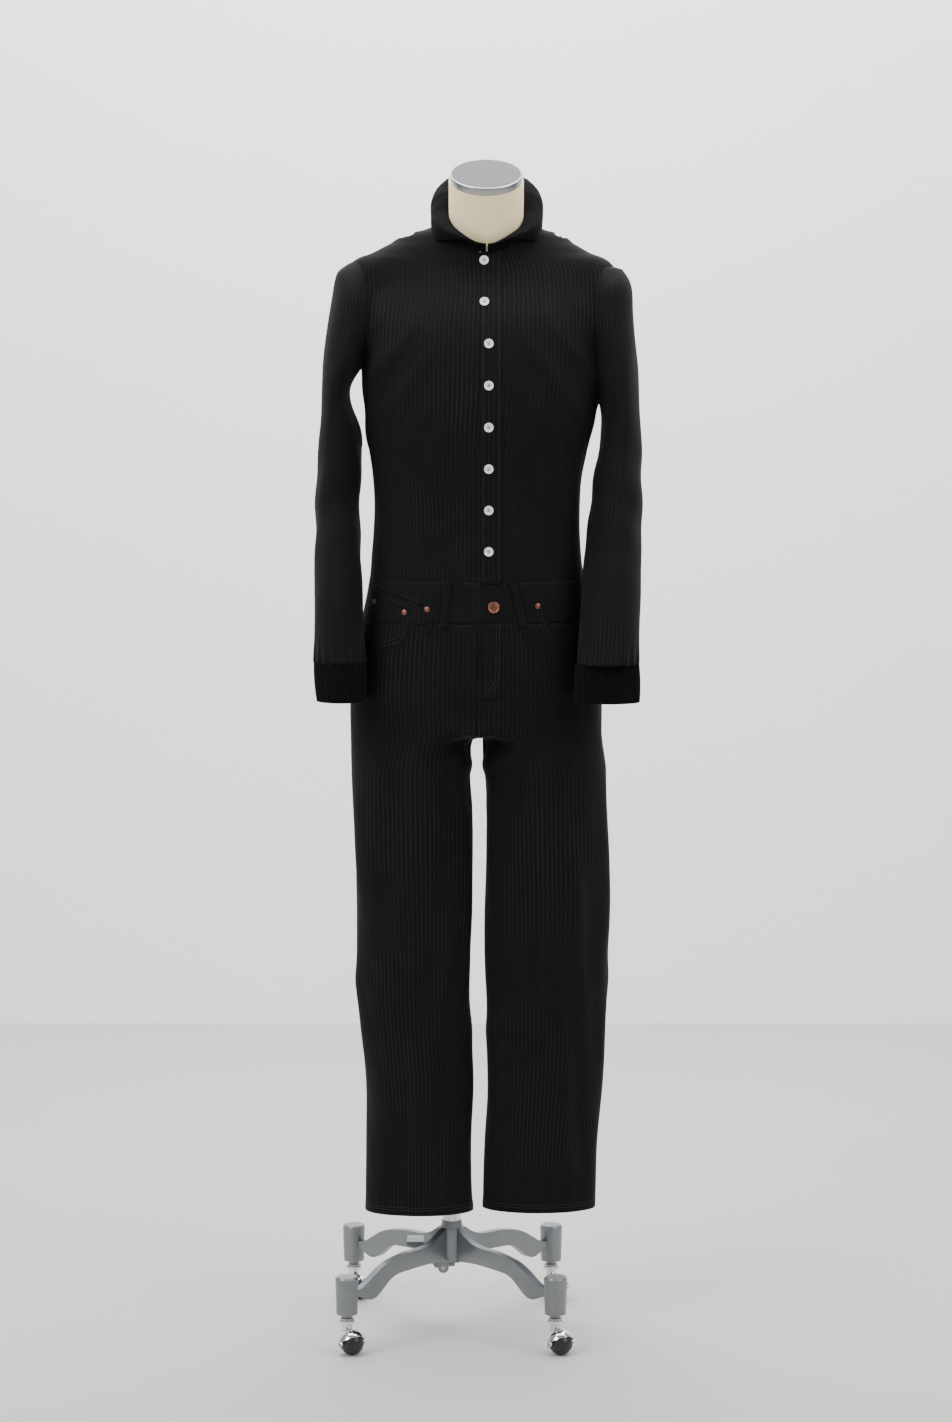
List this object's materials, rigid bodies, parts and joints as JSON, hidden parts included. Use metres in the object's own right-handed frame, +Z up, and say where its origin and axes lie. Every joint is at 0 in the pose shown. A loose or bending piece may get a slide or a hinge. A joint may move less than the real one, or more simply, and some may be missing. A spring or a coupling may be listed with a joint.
{
  "type": "dress form mannequin",
  "caption": "Dress form in a pinstriped one-piece suit with rib collar and cuffs, on a pole over a four-arm base with ball casters and a foot pedal.",
  "frame": {"origin": "on the floor under the middle of the object's bounding box; the pole stands 45.5 mm towards -X of it", "axes": "+Z up; the form faces -Y; the wearer's right arm is at -X"},
  "size_m": [0.5368, 0.3944, 1.9343],
  "materials": {
    "cast_aluminium": "silver-painted casting, satin",
    "steel_tube": "polished tube",
    "zinc_steel": "zinc-plated, satin",
    "guide_plastic": "black, satin",
    "hood_chrome": "polished chrome plate",
    "ball_plastic": "black, worn gloss",
    "form_cover": "cream stretched cover over a hard shell",
    "board_wood": "bare plywood",
    "cap_metal": "brushed face, polished rim",
    "suit_cloth": "near-black cotton with fine grey pinstripes",
    "suit_rib": "black rib knit",
    "button_white": "white, glossy",
    "copper_metal": "aged copper"
  },
  "bodies": {
    "base": {"base_casting": "cast_aluminium", "column_tube": "steel_tube", "guide_bush": "guide_plastic", "pedal_pin": "zinc_steel", "socket_sleeves": "guide_plastic", "stem_front_right": "zinc_steel", "stem_front_left": "zinc_steel", "stem_rear_right": "zinc_steel", "stem_rear_left": "zinc_steel"},
    "pedal": {"foot_pedal": "cast_aluminium"},
    "release": {"release_rod": "zinc_steel"},
    "pole": {"pole_tube": "steel_tube", "pole_foot_bush": "guide_plastic"},
    "form": {"torso_shell": "form_cover", "base_board": "board_wood", "flange_screws": "zinc_steel", "pole_socket": "cast_aluminium", "clamp_knob": "guide_plastic", "neck_block": "form_cover", "neck_cap": "cap_metal", "sleeve_right": "suit_cloth", "cuff_right": "suit_rib", "sleeve_left": "suit_cloth", "cuff_left": "suit_rib", "bodice_front_right": "suit_cloth", "bodice_front_left": "suit_cloth", "bodice_back": "suit_cloth", "waistband": "suit_cloth", "leg_front_right": "suit_cloth", "leg_back_right": "suit_cloth", "leg_front_left": "suit_cloth", "leg_back_left": "suit_cloth", "collar": "suit_rib", "placket": "suit_cloth", "shirt_buttons": "button_white", "jean_button": "copper_metal", "rivets": "copper_metal", "belt_loops": "suit_cloth"},
    "caster_front_right": {"hood_front_right": "hood_chrome", "axle_front_right": "zinc_steel"},
    "ball_front_right": {"wheel_front_right": "ball_plastic"},
    "caster_front_left": {"hood_front_left": "hood_chrome", "axle_front_left": "zinc_steel"},
    "ball_front_left": {"wheel_front_left": "ball_plastic"},
    "caster_rear_right": {"hood_rear_right": "hood_chrome", "axle_rear_right": "zinc_steel"},
    "ball_rear_right": {"wheel_rear_right": "ball_plastic"},
    "caster_rear_left": {"hood_rear_left": "hood_chrome", "axle_rear_left": "zinc_steel"},
    "ball_rear_left": {"wheel_rear_left": "ball_plastic"}
  },
  "joints": [
    {"name": "pedal_press", "type": "hinge", "parent": "base", "child": "pedal", "pos_m": [-0.0595, 0, 0.1], "axis": [0, -1, 0], "range_deg": [0, 8], "stiffness_Nm_per_rad": 2, "springref_deg": -17.19},
    {"name": "release_lift", "type": "slide", "parent": "base", "child": "release", "axis": [0, 0, 1], "range_m": [0, 0.003]},
    {"name": "pole_height", "type": "slide", "parent": "base", "child": "pole", "axis": [0, 0, 1], "range_m": [-0.03, 0.16]},
    {"name": "form_turn", "type": "hinge", "parent": "pole", "child": "form", "pos_m": [-0.0455, 0, 1], "axis": [0, 0, 1], "continuous": true},
    {"name": "swivel_front_right", "type": "hinge", "parent": "base", "child": "caster_front_right", "pos_m": [-0.2155, -0.17, 0.05], "axis": [0, 0, 1], "continuous": true},
    {"name": "roll_front_right", "type": "hinge", "parent": "caster_front_right", "child": "ball_front_right", "pos_m": [-0.207, -0.186, 0.0195], "axis": [0.8829, 0.4695, 0], "continuous": true},
    {"name": "swivel_front_left", "type": "hinge", "parent": "base", "child": "caster_front_left", "pos_m": [0.1245, -0.17, 0.05], "axis": [0, 0, 1], "continuous": true},
    {"name": "roll_front_left", "type": "hinge", "parent": "caster_front_left", "child": "ball_front_left", "pos_m": [0.133, -0.186, 0.0195], "axis": [0.8829, 0.4695, 0], "continuous": true},
    {"name": "swivel_rear_right", "type": "hinge", "parent": "base", "child": "caster_rear_right", "pos_m": [-0.2155, 0.17, 0.05], "axis": [0, 0, 1], "continuous": true},
    {"name": "roll_rear_right", "type": "hinge", "parent": "caster_rear_right", "child": "ball_rear_right", "pos_m": [-0.207, 0.154, 0.0195], "axis": [0.8829, 0.4695, 0], "continuous": true},
    {"name": "swivel_rear_left", "type": "hinge", "parent": "base", "child": "caster_rear_left", "pos_m": [0.1245, 0.17, 0.05], "axis": [0, 0, 1], "continuous": true},
    {"name": "roll_rear_left", "type": "hinge", "parent": "caster_rear_left", "child": "ball_rear_left", "pos_m": [0.133, 0.154, 0.0195], "axis": [0.8829, 0.4695, 0], "continuous": true}
  ],
  "couplings": [
    {"joint": "release_lift", "follows": "pedal_press", "m_per_rad": 0.018}
  ]
}
